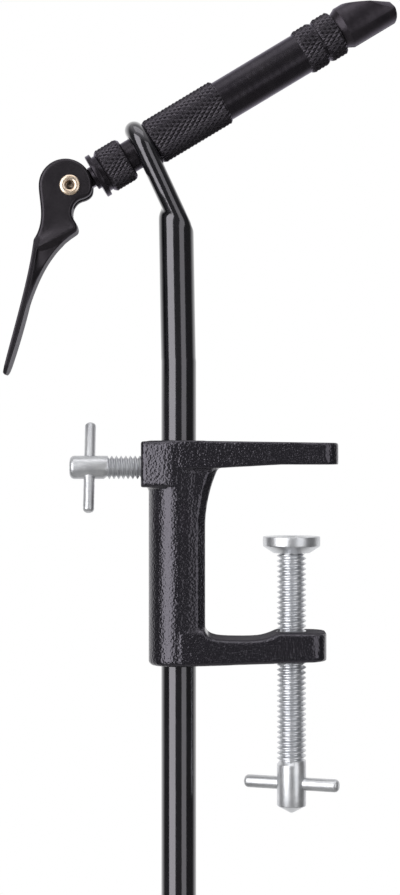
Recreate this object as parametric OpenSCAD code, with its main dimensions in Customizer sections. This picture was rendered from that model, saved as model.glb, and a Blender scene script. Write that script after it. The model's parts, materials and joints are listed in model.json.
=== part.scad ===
// Fly tying vise: C-clamp, height-adjustable stem, tilted barrel with a split draw collet,
// an adjusting collar and an eccentric cam lever.
// X runs from the stem towards the jaws, Z is up, and Y is the width of the vise.
// The origin is on the flat underside of the upper clamp arm, on the clamp screw's axis.

/* [Clamp] */
// From the clamp screw's axis to the stem's axis
reach = 30.7; // [30:0.1:33]
// Top of the casting above the arm's underside
clamp_top = 6.5; // [6:0.1:8]
// Foot of the casting below the arm's underside
clamp_foot = 54.5; // [53:0.5:60]
// Diameter of the tube that the stem slides in
tube_d = 16.4; // [15:0.1:18]
// Width of the upper arm
arm_w = 19; // [17:0.5:22]
// From the clamp screw's axis to the upper arm's tip
arm_tip = 12.4; // [11:0.1:16]
// Diameter of the boss round the clamp screw
screw_boss_d = 18.6; // [17:0.1:20]
// Width of the boss for the lock screw
lock_boss_w = 14; // [12:0.5:16]

/* [Clamp screw] */
// Diameter over the thread, 5/16 inch
clamp_screw_d = 7.94; // [7:0.02:8.2]
// Diameter of the pressure pad
pad_d = 15.6; // [14:0.1:18]
// Gap between the arm and the pad as shown
throat = 19.6; // [16:0.1:24]
// Length of the tommy bar
clamp_bar_len = 26.9; // [22:0.1:34]
// Turn of the tommy bar about the screw
clamp_bar_turn = -21; // [-90:1:90]

/* [Lock screw] */
// Diameter over the thread, 1/4 inch
lock_screw_d = 6.35; // [5.5:0.05:6.5]
// Length of the tommy bar
lock_bar_len = 26.4; // [22:0.1:32]
// Turn of the tommy bar about the screw
lock_bar_turn = -25; // [-90:1:90]

/* [Stem] */
// Diameter of the stem, 3/8 inch
stem_d = 9.525; // [9:0.005:9.6]
// Depth of the stem's foot below the arm's underside
stem_foot = 122.5; // [100:0.5:140]
// Thickness of the forged neck
neck_t = 5.5; // [5:0.1:6.5]
// Width of the forged neck
neck_w = 12.4; // [11:0.1:14]

/* [Head] */
// Rise of the barrel's axis towards the jaws, in degrees
tilt = 31; // [25:1:38]
// Diameter of the smooth part of the barrel
barrel_d = 11.4; // [10.8:0.1:11.6]
// Diameter over the knurled grip
grip_d = 12.9; // [12.2:0.1:13.4]
// Diameter of the jaws
jaw_d = 11.9; // [11:0.1:12]
// Slit between the open jaws
jaw_slit = 1.0; // [0.8:0.1:1.2]

/* [Cam lever] */
// Throw of the eccentric: cam centre to pin
cam_throw = 1.2; // [0.9:0.1:1.3]
// Radius of the cam
cam_r = 7.25; // [7:0.05:7.5]
// Width of the lever's head
head_w = 10; // [9:0.5:11]
// Width of the thumb blade
blade_w = 12.5; // [11:0.5:14]

/* [Hidden] */

$fn = 64;
cut = 1;
run_gap = 0.07;

// Colours as the photograph shows them
cast_black = [0.10, 0.10, 0.11];
enamel_black = [0.07, 0.07, 0.08];
steel_black = [0.16, 0.16, 0.17];
zinc = [0.72, 0.72, 0.74];
brass = [0.80, 0.66, 0.42];
bright_steel = [0.66, 0.66, 0.68];

// Clamp casting
tube_r = tube_d / 2;
stem_x = -reach;
stem_bore_r = stem_d / 2 + run_gap;
flange_face = 7.2;
flange_t = 1.6;
flange_w = 15;
arm_tip_top = 5.85;
arm_root_z = -0.95;
land_from = -3;
root_x = -20;
brace_z = -17;
tip_corner = 4;
lower_end = screw_boss_d / 2;
lower_tip_z = 1.4;
lower_top = -45.35;
lower_dip = 1.85;
foot_chamfer = 0.8;
boss_x = -40.9;
boss_top = 6.3;
boss_low = -6.2;
boss_corner = 5;
lock_z = -0.8;

// Clamp screw, pad and bar
pad_top = -throat;
pad_rim = 2.6;
pad_h = 4.5;
pad_neck_r = 4.95;
spigot_r = 2.5;
peen_r = 4.2;
peen_h = 1.7;
screw_end = 94.7;
screw_cone = 1.5;
clamp_bar_z = -86.8;
clamp_bar_r = 1.75;
bar_chamfer = 0.6;

// Lock screw, pad and bar
lock_end = -60.4;
lock_tip = -36.9;
lock_dome = 1.3;
lock_pad_r = 3.17;
lock_bar_x = -55;
lock_bar_r = 1.5;

// Stem and eye
stem_r = stem_d / 2;
lean_from = 30;
rod_lean = 1.15;
bend_z = 67.9;
shoulder_z = 66.8;
eye_x = -40.07;
eye_z = 86.1;
eye_r = 8.05;
eye_t = 5.3;
bend_x = stem_x - (bend_z - lean_from) * tan(rod_lean);
neck_lean = atan((bend_x - eye_x) / (eye_z - bend_z));
neck_len = (eye_z - bend_z) / cos(neck_lean);
cap_t = 1.5;
cap_spigot_r = 2;
cap_spigot_h = 6;
set_screw_r = 1.45;
set_dog_r = 0.75;

// Barrel, measured along its axis from the eye's centre
neck_r = 4.35;
rear_end = -12.5;
seat_groove_r = 3.85;
grip_from = 2.7;
grip_to = 24.5;
ring_1_from = 49.9;
ring_1_to = 55.5;
ring_2_from = 56;
nose = 61.2;
ring_r = 6.35;
band_r = 5.55;
knurl_chamfer = 0.5;
bore_r = 4.3;
rear_bore_r = 2.62;
spring_seat = 5;
mouth_r = 5.82;
mouth_from = 57.6;
key_t = 27.5;
key_r = 0.8;

// Thrust washer and adjusting collar
washer_front = -13.9;
washer_back = -15.3;
hub_back = -16.35;
hub_r = 3.25;
washer_r = 6.25;
collar_front = -5.3;
collar_back = -12.9;
collar_r = 6.25;
collar_neck_r = 5.2;

// Draw rod and collet
rod_r = 2.55;
rod_rear = -14.2;
root_from = 24;
root_to = 31;
leg_r = 4.22;
tongue_t = 3.0;
tongue_eye_r = 3.3;
// The tongue's root slides in the washer's bore, so its corners stay on the rod's circle
tongue_root_h = 2 * sqrt(rod_r * rod_r - tongue_t * tongue_t / 4) - 0.1;
pin_back = -22.65;
pin_rise = 1.2;
pin_r = 1.95;
rivet_hole_r = 1.25;
rivet_head_r = 2.7;
rivet_head_t = 0.5;
rivet_hole_deep = 2;

// Jaws
cone_from = 59.5;
rim_t = 62.0;
rim_r = 5.2;
full_t = 63.4;
jaw_end = 77.4;
jaw_r = jaw_d / 2;
bevel_from = 66.4;
bevel_to = -0.7;
flank_from = 67;
tip_half = 2.4;

// Lever
slot_w = tongue_t + 0.3;
slot_r = 4.6;
swing = 100;
blade_tip = -51.2;
flare_from = -9.5;
flare_to = -18;
crease = 28.6;
crease_at = -12.1;
rib_half = 1.9;

// Points of an arc, counted round from one angle to the other
function arc(c, r, a0, a1, n) =
    [for (i = [0:n]) let (a = a0 + (a1 - a0) * i / n) c + r * [cos(a), sin(a)]];

// Points of a cubic curve through two ends and pulled by two handles
function curve(a, b, c, d, n) =
    [for (i = [0:n]) let (s = i / n, q = 1 - s)
        q * q * q * a + 3 * q * q * s * b + 3 * q * s * s * c + s * s * s * d];

// Frame on the barrel's axis: local Z runs towards the jaws, local -X is up
module on_barrel(t = 0) {
    translate([eye_x, 0, eye_z]) rotate([0, 90 - tilt, 0]) translate([0, 0, t]) children();
}

// A side view drawn in X and Z, given its width across Y
module across(w) {
    rotate([90, 0, 0]) linear_extrude(height = w, center = true) children();
}

// A side view drawn along the barrel and up, given its width across Y
module across_barrel(w) {
    translate([eye_x, 0, eye_z]) rotate([0, -tilt, 0]) across(w) children();
}

// Rectangle with round corners at its far end only
module round_tip(x0, x1, w, r) {
    translate([x0, -w / 2]) square([x1 - r - x0, w]);
    translate([x0, -w / 2 + r]) square([x1 - x0, w - 2 * r]);
    for (s = [-1, 1]) translate([x1 - r, s * (w / 2 - r)]) circle(r);
}

// A flat bar with two half-round edges, seen from its end
module bullnose(w, t) {
    square([t, w - t], center = true);
    for (s = [-1, 1]) translate([0, s * (w - t) / 2]) circle(t / 2);
}

// A round bar along Z with chamfered ends
module pin_bar(r, len, c) {
    rotate_extrude() polygon([
        [0, -len / 2], [r - c, -len / 2], [r, -len / 2 + c],
        [r, len / 2 - c], [r - c, len / 2], [0, len / 2]
    ]);
}

// A turned ring along Z with chamfered rims and a bore
module turned_ring(r, bore, from, to, c) {
    rotate_extrude() polygon([
        [bore, from], [r - c, from], [r, from + c], [r, to - c], [r - c, to], [bore, to]
    ]);
}

// Clamp casting

module upper_arm() {
    intersection() {
        across(arm_w) polygon([
            [stem_x, clamp_top], [arm_tip, arm_tip_top], [arm_tip, 0],
            [land_from, 0], [root_x, arm_root_z], [stem_x, arm_root_z]
        ]);
        translate([0, 0, -10]) linear_extrude(height = 20)
            round_tip(stem_x, arm_tip, arm_w, tip_corner);
    }
    // Round end of the arm behind the stem
    translate([stem_x, 0, arm_root_z]) cylinder(r = arm_w / 2, h = clamp_top - arm_root_z);
}

// Curved brace between the arm's root and the spine
module arm_brace() {
    drop = arm_root_z - brace_z;
    out = root_x - (stem_x + flange_face);
    bend_r = (out * out + drop * drop) / (2 * out);
    a = asin(drop / bend_r);
    across(flange_w) polygon(concat(
        [[stem_x + flange_face - flange_t, brace_z]],
        arc([stem_x + flange_face + bend_r, brace_z], bend_r, 180, 180 - a, 10),
        [[root_x, 0], [stem_x + flange_face - flange_t, 0]]
    ));
}

module lower_arm() {
    face = stem_x + flange_face;
    low = -clamp_foot;
    dip = lower_top - lower_dip;
    profile = concat(
        [[stem_x, low], [lower_end, low + lower_tip_z], [lower_end, lower_top - 0.1]],
        [[-lower_end / 3, lower_top + 0.1]],
        curve([-3.9, lower_top], [-7.2, dip + 0.3], [-8.5, dip], [-13.5, dip], 6),
        curve([-13.5, dip], [-19.5, dip], [face + 0.4, dip + 0.1], [face, dip + 2.65], 8),
        [[stem_x, dip + 2.65]]
    );
    intersection() {
        across(screw_boss_d) polygon(profile);
        translate([0, 0, low]) linear_extrude(height = 14) union() {
            circle(lower_end);
            polygon([[stem_x, -flange_w / 2], [-4, -lower_end + 0.9],
                     [-4, lower_end - 0.9], [stem_x, flange_w / 2]]);
        }
    }
}

module spine() {
    difference() {
        translate([stem_x, 0, 0]) rotate_extrude() polygon([
            [0, -clamp_foot], [tube_r - foot_chamfer, -clamp_foot],
            [tube_r, -clamp_foot + foot_chamfer], [tube_r, clamp_top], [0, clamp_top]
        ]);
        // Flush with the flange inside the throat
        translate([stem_x + flange_face, -tube_r, -clamp_foot - cut])
            cube([tube_r, tube_d, clamp_foot + cut]);
    }
    translate([stem_x + flange_face - flange_t, -flange_w / 2, -clamp_foot + 0.3])
        cube([flange_t, flange_w, clamp_foot]);
}

module lock_boss() {
    translate([0, 0, boss_low]) linear_extrude(height = boss_top - boss_low)
        mirror([1, 0]) round_tip(-stem_x, -boss_x, lock_boss_w, boss_corner);
}

module clamp_frame() color(cast_black) difference() {
    union() {
        spine();
        upper_arm();
        arm_brace();
        lower_arm();
        lock_boss();
    }
    translate([stem_x, 0, -clamp_foot - cut])
        cylinder(r = stem_bore_r, h = clamp_foot + clamp_top + 2 * cut);
    translate([0, 0, -clamp_foot - cut]) cylinder(r = clamp_screw_d / 2 + run_gap, h = 14);
    translate([boss_x - cut, 0, lock_z]) rotate([0, 90, 0])
        cylinder(r = lock_screw_d / 2 + run_gap, h = stem_x - boss_x + cut);
}

// Clamp screw

module pressure_pad() color(zinc) translate([0, 0, pad_top]) rotate_extrude() polygon([
    [spigot_r + run_gap, -pad_h], [pad_neck_r, -pad_h], [pad_d / 2, -pad_rim],
    [pad_d / 2, -0.3], [pad_d / 2 - 0.3, 0], [peen_r + run_gap, 0],
    [spigot_r + run_gap, -peen_h]
]);

module clamp_screw() color(zinc) difference() {
    r = clamp_screw_d / 2;
    shoulder = pad_top - pad_h - run_gap;
    rotate_extrude() polygon([
        [0, pad_top - 0.15], [peen_r - 0.2, pad_top - 0.15],
        [spigot_r, pad_top - peen_h + 0.05], [spigot_r, shoulder],
        [r - 0.7, shoulder], [r, shoulder - 0.7],
        [r, -screw_end + screw_cone + 0.9], [r - 0.7, -screw_end + screw_cone],
        [0, -screw_end]
    ]);
    translate([0, 0, clamp_bar_z]) rotate([0, 90, clamp_bar_turn])
        cylinder(r = clamp_bar_r, h = 2 * r + cut, center = true);
}

module clamp_screw_bar() color(zinc) translate([0, 0, clamp_bar_z])
    rotate([0, 90, clamp_bar_turn]) pin_bar(clamp_bar_r, clamp_bar_len, bar_chamfer);

// Lock screw

// Soft pad between the lock screw and the stem, hollowed to the stem's curve
module lock_pad() color(brass) difference() {
    translate([lock_tip + 0.05, 0, lock_z]) rotate([0, 90, 0]) cylinder(r = lock_pad_r, h = 3);
    translate([stem_x, 0, -10]) cylinder(r = stem_r + 0.09, h = 20);
}

module lock_screw() color(zinc) difference() {
    r = lock_screw_d / 2;
    translate([lock_end, 0, lock_z]) rotate([0, 90, 0]) rotate_extrude() polygon(concat(
        [[0, 0], [r - lock_dome, 0]],
        arc([r - lock_dome, lock_dome], lock_dome, -90, 0, 6),
        [[r, lock_tip - lock_end - 0.6], [r - 0.6, lock_tip - lock_end],
         [0, lock_tip - lock_end]]
    ));
    translate([lock_bar_x, 0, lock_z]) rotate([lock_bar_turn, 0, 0])
        cylinder(r = lock_bar_r, h = 2 * r + cut, center = true);
}

module lock_screw_bar() color(zinc) translate([lock_bar_x, 0, lock_z])
    rotate([lock_bar_turn, 0, 0]) pin_bar(lock_bar_r, lock_bar_len, bar_chamfer - 0.1);

// Stem

module along_neck(s = 0) {
    translate([bend_x, 0, bend_z]) rotate([0, -neck_lean, 0]) translate([0, 0, s]) children();
}

// Ring at the neck's end, with a half-round rim
module eye_ring() {
    on_barrel() rotate_extrude() union() {
        translate([0, -eye_t / 2]) square([eye_r - eye_t / 2, eye_t]);
        translate([eye_r - eye_t / 2, 0]) circle(eye_t / 2);
    }
}

module stem() color(enamel_black) difference() {
    union() {
        translate([stem_x, 0, -stem_foot + cap_t])
            cylinder(r = stem_r, h = lean_from + stem_foot - cap_t);
        // Leaning end of the rod, its outer side forged off in line with the neck
        difference() {
            translate([stem_x, 0, lean_from]) rotate([0, -rod_lean, 0]) union() {
                sphere(stem_r);
                cylinder(r = stem_r, h = shoulder_z - lean_from);
                translate([0, 0, shoulder_z - lean_from]) sphere(stem_r);
            }
            along_neck() translate([neck_t / 2 - 0.2, -10, -12]) cube([20, 20, 40]);
        }
        // The round section spreads into the flat neck
        hull() {
            along_neck(-4) linear_extrude(height = 0.2) bullnose(2 * stem_r - 0.8, neck_t - 0.1, $fn = 32);
            along_neck(6) linear_extrude(height = 0.2) bullnose(neck_w - 0.1, neck_t - 0.1, $fn = 32);
        }
        along_neck(5) linear_extrude(height = neck_len - 8) bullnose(neck_w, neck_t);
        eye_ring();
    }
    on_barrel(-10) cylinder(r = neck_r + 0.05, h = 20);
    on_barrel() rotate([-90, 0, 0]) translate([0, 0, neck_r - 0.5]) cylinder(r = set_screw_r, h = 6);
    translate([stem_x, 0, -stem_foot]) cylinder(r = cap_spigot_r + 0.05, h = cap_t + cap_spigot_h + 0.2);
}

module stem_foot_cap() color(enamel_black) translate([stem_x, 0, -stem_foot])
    rotate_extrude() polygon([
        [0, 0], [stem_r - 0.9, 0], [stem_r - 0.1, 0.8], [stem_r - 0.1, cap_t - 0.06],
        [cap_spigot_r, cap_t - 0.06], [cap_spigot_r, cap_t + cap_spigot_h], [0, cap_t + cap_spigot_h]
    ]);

// Small screw on the far side of the eye: its dog point runs in the barrel's groove
module eye_set_screw() color(bright_steel) on_barrel() rotate([-90, 0, 0]) difference() {
    dog = seat_groove_r + 0.12;
    head = eye_r - 0.5;
    rotate_extrude() polygon([
        [0, dog], [set_dog_r, dog], [set_dog_r, neck_r + 0.1],
        [set_screw_r, neck_r + 0.5], [set_screw_r, head], [0, head]
    ]);
    // Hexagon socket
    translate([0, 0, head - 1.4]) cylinder(r = set_dog_r, h = 2, $fn = 6);
}

// Barrel

module barrel() color(steel_black) difference() {
    k = knurl_chamfer;
    g = grip_d / 2;
    b = barrel_d / 2;
    on_barrel() rotate_extrude() polygon([
        [rear_bore_r, rear_end], [neck_r - 0.4, rear_end], [neck_r, rear_end + 0.4],
        [neck_r, -0.9], [seat_groove_r, -0.9], [seat_groove_r, 0.9], [neck_r, 0.9],
        [neck_r, grip_from], [g - k, grip_from], [g, grip_from + k],
        [g, grip_to - k], [b, grip_to],
        [b, ring_1_from], [ring_r, ring_1_from + k], [ring_r, ring_1_to - k],
        [band_r, ring_1_to], [band_r, ring_2_from], [ring_r, ring_2_from + k],
        [ring_r, nose - k], [ring_r - 0.3, nose],
        [mouth_r, nose], [bore_r, mouth_from], [bore_r, spring_seat], [rear_bore_r, spring_seat]
    ]);
    on_barrel(key_t) rotate([-90, 0, 0]) cylinder(r = key_r, h = barrel_d);
}

// Key in the barrel's wall that keeps the collet from turning
module collet_key_pin() color(bright_steel)
    on_barrel(key_t) rotate([-90, 0, 0]) translate([0, 0, 3.4])
        cylinder(r = key_r, h = barrel_d / 2 - 3.4 - 0.06);

module thrust_washer() color(steel_black) on_barrel() rotate_extrude() polygon([
    [rear_bore_r, hub_back], [hub_r, hub_back], [hub_r, washer_back],
    [washer_r - 0.3, washer_back], [washer_r, washer_back + 0.3],
    [washer_r, washer_front - 0.3], [washer_r - 0.3, washer_front], [rear_bore_r, washer_front]
]);

module adjusting_collar() color(steel_black) on_barrel() union() {
    bore = neck_r + 0.05;
    turned_ring(collar_r, bore, collar_back, collar_front, 0.8);
    translate([0, 0, washer_front + 0.06]) difference() {
        cylinder(r = collar_neck_r, h = collar_back - washer_front);
        translate([0, 0, -cut]) cylinder(r = bore, h = 3);
    }
}

// Draw rod and collet

// Flat tongue that goes into the lever's fork, its eye a little above the barrel's axis
module tongue() {
    across_barrel(tongue_t) difference() {
        union() {
            translate([pin_back, pin_rise]) circle(tongue_eye_r);
            polygon([
                [pin_back - 0.6, pin_rise + tongue_eye_r - 0.05],
                [hub_back - 0.2, tongue_root_h / 2], [rod_rear + 0.4, tongue_root_h / 2],
                [rod_rear + 0.4, -tongue_root_h / 2], [hub_back - 0.2, -tongue_root_h / 2],
                [pin_back + 0.9, pin_rise - tongue_eye_r + 0.15]
            ]);
        }
        translate([pin_back, pin_rise]) circle(pin_r + run_gap);
    }
}

module draw_rod() color(steel_black) difference() {
    union() {
        on_barrel(rod_rear) cylinder(r = rod_r, h = root_from - rod_rear + 1);
        on_barrel() turned_ring(leg_r, 0, root_from, root_to, 0.3);
        tongue();
    }
    // Keyway: the rod is drawn back past the key pin
    on_barrel() translate([-key_r - 0.05, 3.2, key_t - key_r - 0.1])
        cube([2 * key_r + 0.1, 3, 2 * key_r + 2.1]);
}

// Round wire spring between the barrel's shoulder and the collet's root
module return_spring() {
    wire_r = 0.4;
    coil_r = 3.7;
    turns = 9;
    per_turn = 14;
    sides = 6;
    low = spring_seat + wire_r + 0.1;
    high = root_from - wire_r - 0.1;
    rings = turns * per_turn;
    function at(i, j) =
        let (a = 360 * i / per_turn, b = 360 * j / sides, r = coil_r + wire_r * cos(b))
        [r * cos(a), r * sin(a), low + (high - low) * i / rings + wire_r * sin(b)];
    points = [for (i = [0:rings], j = [0:sides - 1]) at(i, j)];
    walls = [for (i = [0:rings - 1], j = [0:sides - 1])
        let (k = (j + 1) % sides)
        each [[i * sides + j, (i + 1) * sides + j, (i + 1) * sides + k],
              [i * sides + j, (i + 1) * sides + k, i * sides + k]]];
    ends = [[for (j = [0:sides - 1]) j], [for (j = [sides - 1:-1:0]) rings * sides + j]];
    color(bright_steel) on_barrel() polyhedron(points, concat(walls, ends));
}

// The whole nose of the collet before it is slit
module collet_nose() {
    intersection() {
        on_barrel() rotate_extrude() polygon([
            [0, root_to + 0.08], [leg_r, root_to + 0.08], [leg_r, cone_from],
            [rim_r, rim_t], [jaw_r, full_t], [jaw_r, jaw_end], [0, jaw_end]
        ]);
        // Side view: sloping top, rounded nose
        across_barrel(2 * jaw_d) polygon(concat(
            [[root_to, -jaw_d], [rim_t, -jaw_d], [rim_t, -jaw_r]],
            curve([jaw_end - 1.5, -jaw_r], [jaw_end - 0.4, -jaw_r + 0.2],
                  [jaw_end, -3.8], [jaw_end, -2.4], 5),
            [[jaw_end - 0.2, bevel_to], [bevel_from, jaw_r - 0.45],
             [rim_t, rim_r - 0.2], [rim_t, jaw_d], [root_to, jaw_d]]
        ));
        // Plan view: the flanks run in towards the tip
        on_barrel() rotate([90, 0, 90]) linear_extrude(height = 3 * jaw_d, center = true)
            polygon([
                [-jaw_d, root_to - 1], [jaw_d, root_to - 1], [jaw_d, flank_from],
                [jaw_r, flank_from], [tip_half, jaw_end + 0.1], [-tip_half, jaw_end + 0.1],
                [-jaw_r, flank_from], [-jaw_d, flank_from]
            ]);
    }
}

module jaw_half(side) {
    intersection() {
        collet_nose();
        on_barrel() translate([-jaw_d, side > 0 ? jaw_slit / 2 : -jaw_d - jaw_slit / 2, root_to - 1])
            cube([2 * jaw_d, jaw_d, jaw_end]);
    }
}

module jaw_near() color(steel_black) jaw_half(-1);

module jaw_far() color(steel_black) jaw_half(1);

// Cam lever

pin_x = eye_x + pin_back * cos(tilt) - pin_rise * sin(tilt);
pin_z = eye_z + pin_back * sin(tilt) + pin_rise * cos(tilt);

// Side view of the lever, drawn from its pin
blade_top = [-9.7, -14.5];
lever_back = curve(blade_top, [-10.6, -24], [-14.9, -38], [-18.1, -50.6], 10);
lever_tip = [[-17.7, blade_tip], [-17.4, blade_tip]];
lever_outline = concat(
    arc([-cam_throw, 0], cam_r, -8, 180, 34),
    curve([-cam_throw - cam_r, 0], [-8.45, -4], [-6.4, -9.5], blade_top, 10),
    lever_back, lever_tip,
    curve([-17.1, -50.6], [-12.8, -40], [-10.95, -20.5], [1.3, -12.81], 16),
    arc([0.6, -11.6], 1.4, -55, 25, 6),
    curve([1.8, -10.5], [1.3, -9.3], [0.46, -8.9], [0.48, -7.4], 5),
    curve([0.48, -7.4], [0.5, -5.8], [1.4, -4.1], [2.9, -3.65], 6),
    curve([2.9, -3.65], [4.4, -3.3], [5.8, -2.6], [5.98, -1.01], 6)
);

// Side view of the thin thumb blade behind the rib
blade_outline = concat(
    lever_back, lever_tip,
    curve([-17.1, -50.6], [-13, -38.6], [-8.6, -24], [-7.7, -13.5], 10)
);

// Front view of the thumb blade: it spreads below the cheeks and ends round
module blade_front() {
    h = head_w / 2;
    b = blade_w / 2;
    polygon(concat(
        [[-h, 10], [-h, flare_from]],
        curve([-h, flare_from], [-h, -13], [-b, -14], [-b, flare_to], 6),
        arc([0, blade_tip + b], b, 180, 360, 20),
        curve([b, flare_to], [b, -14], [h, -13], [h, flare_from], 6),
        [[h, 10]]
    ));
}

// The head's cheeks and the rib below them, seen along the slanting crease that parts them
module rib_front() {
    h = head_w / 2;
    foot = [rib_half, crease_at - 7];
    polygon(concat(
        [[-h, 12], [-h, crease_at]],
        curve([-h, crease_at], [-h, crease_at - 3], [-foot.x, crease_at - 3], [-foot.x, foot.y], 6),
        [[-foot.x, blade_tip], [foot.x, blade_tip]],
        curve(foot, [foot.x, crease_at - 3], [h, crease_at - 3], [h, crease_at], 6),
        [[h, 12]]
    ));
}

// A front view turned up about the width by an angle and run through the lever
module front_view(turn) {
    rotate([0, -turn, 0]) rotate([90, 0, 90]) linear_extrude(height = 80, center = true) children();
}

module at_pin() {
    translate([pin_x, 0, pin_z]) children();
}

module cam_lever() color(steel_black) at_pin() difference() {
    union() {
        intersection() {
            across(head_w + 2) polygon(lever_outline);
            front_view(crease) rib_front();
        }
        intersection() {
            across(blade_w + 2) polygon(blade_outline);
            front_view(0) blade_front();
        }
    }
    // Fork for the tongue, open wherever it points from rest to full swing
    across(slot_w) union() {
        circle(slot_r);
        rotate(tilt + swing - 90) translate([-tongue_eye_r - 0.3, 0]) square(20);
        rotate(-30) translate([0, -slot_r]) square(20);
    }
    rotate([90, 0, 0]) cylinder(r = pin_r, h = head_w + 2 * cut, center = true);
}

// Semi-tubular rivet: a flat head on the far cheek, the hollow end rolled over on the near one
module pivot_pin() color(brass) at_pin() rotate([90, 0, 0]) {
    h = head_w / 2;
    top = h + rivet_head_t;
    rotate_extrude() polygon([
        [0, -top], [rivet_head_r - 0.4, -top],
        [rivet_head_r, -h - 0.1], [rivet_head_r, -h], [pin_r, -h],
        [pin_r, h], [rivet_head_r, h], [rivet_head_r, h + 0.1],
        [rivet_head_r - 0.4, top], [rivet_hole_r, top],
        [rivet_hole_r, top - rivet_hole_deep], [0, top - rivet_hole_deep - 0.5]
    ]);
}

clamp_frame();
pressure_pad();
clamp_screw();
clamp_screw_bar();
lock_pad();
lock_screw();
lock_screw_bar();
stem();
stem_foot_cap();
eye_set_screw();
barrel();
collet_key_pin();
thrust_washer();
adjusting_collar();
draw_rod();
return_spring();
jaw_near();
jaw_far();
cam_lever();
pivot_pin();
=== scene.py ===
import json
import math

import bmesh
import bpy
from mathutils import Matrix, Vector


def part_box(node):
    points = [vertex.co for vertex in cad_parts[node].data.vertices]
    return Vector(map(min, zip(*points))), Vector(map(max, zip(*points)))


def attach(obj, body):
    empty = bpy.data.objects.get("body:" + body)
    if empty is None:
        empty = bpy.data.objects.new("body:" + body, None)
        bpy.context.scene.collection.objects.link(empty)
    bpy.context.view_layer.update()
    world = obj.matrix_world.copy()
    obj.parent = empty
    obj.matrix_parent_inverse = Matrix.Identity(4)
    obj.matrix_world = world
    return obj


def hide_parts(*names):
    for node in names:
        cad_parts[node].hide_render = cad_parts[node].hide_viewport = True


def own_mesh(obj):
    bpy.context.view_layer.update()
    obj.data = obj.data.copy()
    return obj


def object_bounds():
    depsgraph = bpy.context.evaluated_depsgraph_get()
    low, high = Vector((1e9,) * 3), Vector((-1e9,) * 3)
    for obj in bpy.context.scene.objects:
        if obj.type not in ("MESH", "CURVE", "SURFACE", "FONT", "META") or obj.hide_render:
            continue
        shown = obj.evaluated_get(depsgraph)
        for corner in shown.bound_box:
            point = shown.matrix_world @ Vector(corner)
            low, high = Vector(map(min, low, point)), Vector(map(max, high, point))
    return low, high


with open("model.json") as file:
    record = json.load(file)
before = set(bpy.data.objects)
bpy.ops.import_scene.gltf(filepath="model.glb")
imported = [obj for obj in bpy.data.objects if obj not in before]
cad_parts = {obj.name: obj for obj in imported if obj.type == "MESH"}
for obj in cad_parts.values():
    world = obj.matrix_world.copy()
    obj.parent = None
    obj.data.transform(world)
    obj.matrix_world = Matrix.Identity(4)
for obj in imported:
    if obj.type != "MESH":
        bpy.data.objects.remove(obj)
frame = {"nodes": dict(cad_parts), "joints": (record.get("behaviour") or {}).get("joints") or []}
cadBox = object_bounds()
scene = bpy.context.scene
mm = 0.001
fullTurn = 2 * math.pi
print("vise: frame loaded,", len(frame["nodes"]), "nodes")


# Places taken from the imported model, in millimetres

def jointNamed(name):
    return next(j for j in frame["joints"] if j["name"] == name)


def boxOf(node):
    low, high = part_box(node)
    return low / mm, high / mm


def placeAt(origin, along, sideways):
    # local Z runs along, local X points sideways, and a local unit is a millimetre
    across = along.cross(sideways)
    turn = Matrix((sideways, across, along)).transposed().to_4x4()
    return Matrix.Translation(origin * mm) @ turn @ Matrix.Scale(mm, 4)


stemX = jointNamed("stem_swivel")["pos_m"][0] / mm
eyeCentre = Vector(jointNamed("barrel_turn")["pos_m"]) / mm
barrelAxis = Vector(jointNamed("barrel_turn")["axis"]).normalized()
barrelUp = Vector((-barrelAxis.z, 0, barrelAxis.x))
pinCentre = Vector(jointNamed("lever_swing")["pos_m"]) / mm
lockAxisZ = jointNamed("lock_screw_turn")["pos_m"][2] / mm

inVise = Matrix.Scale(mm, 4)
onBarrel = placeAt(eyeCentre, barrelAxis, barrelUp)
onLockScrew = placeAt(Vector((0, 0, lockAxisZ)), Vector((1, 0, 0)), Vector((0, 0, 1)))
atPin = Matrix.Translation(pinCentre * mm) @ Matrix.Scale(mm, 4)
throughPin = placeAt(pinCentre, Vector((0, -1, 0)), Vector((1, 0, 0)))


# Mesh helpers: a bmesh is built in millimetres and placed at the end

def newEdges(bm, points, closed=False):
    verts = [bm.verts.new(p) for p in points]
    edges = [bm.edges.new(pair) for pair in zip(verts, verts[1:])]
    if closed:
        edges.append(bm.edges.new((verts[-1], verts[0])))
    return verts, edges


def turnOnLathe(bm, profile, steps=72, closed=False):
    # the profile is (radius, height) from one end to the other, spun about Z
    verts, edges = newEdges(bm, [(r, 0, h) for r, h in profile], closed)
    bmesh.ops.spin(bm, geom=verts + edges, cent=(0, 0, 0), axis=(0, 0, 1), dvec=(0, 0, 0),
                   angle=fullTurn, steps=steps, use_merge=True, use_duplicate=False)
    bmesh.ops.remove_doubles(bm, verts=bm.verts, dist=1e-4)


def raiseOutline(bm, outline, depth):
    # a side view in X and Z, made a slab across Y
    face = bm.faces.new([bm.verts.new((x, -depth / 2, z)) for x, z in outline])
    grown = bmesh.ops.extrude_face_region(bm, geom=[face])["geom"]
    moved = [v for v in grown if isinstance(v, bmesh.types.BMVert)]
    bmesh.ops.translate(bm, vec=(0, depth, 0), verts=moved)


def raiseSoftSlab(bm, outline, depth, edge):
    # the same, with its two rims cut back all round
    raiseOutline(bm, outline, depth - 2 * edge)
    bmesh.ops.recalc_face_normals(bm, faces=bm.faces)
    sides = [f for f in bm.faces if abs(f.normal.y) > 0.9]
    bmesh.ops.inset_region(bm, faces=sides, thickness=edge, depth=edge, use_even_offset=True)


def cutAcross(bm, steps, axis):
    # parts the faces at each step along the axis, so that they can bend there
    for step in steps:
        bmesh.ops.bisect_plane(bm, geom=bm.verts[:] + bm.edges[:] + bm.faces[:], dist=1e-5,
                               plane_co=Vector(axis) * step, plane_no=axis)


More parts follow.
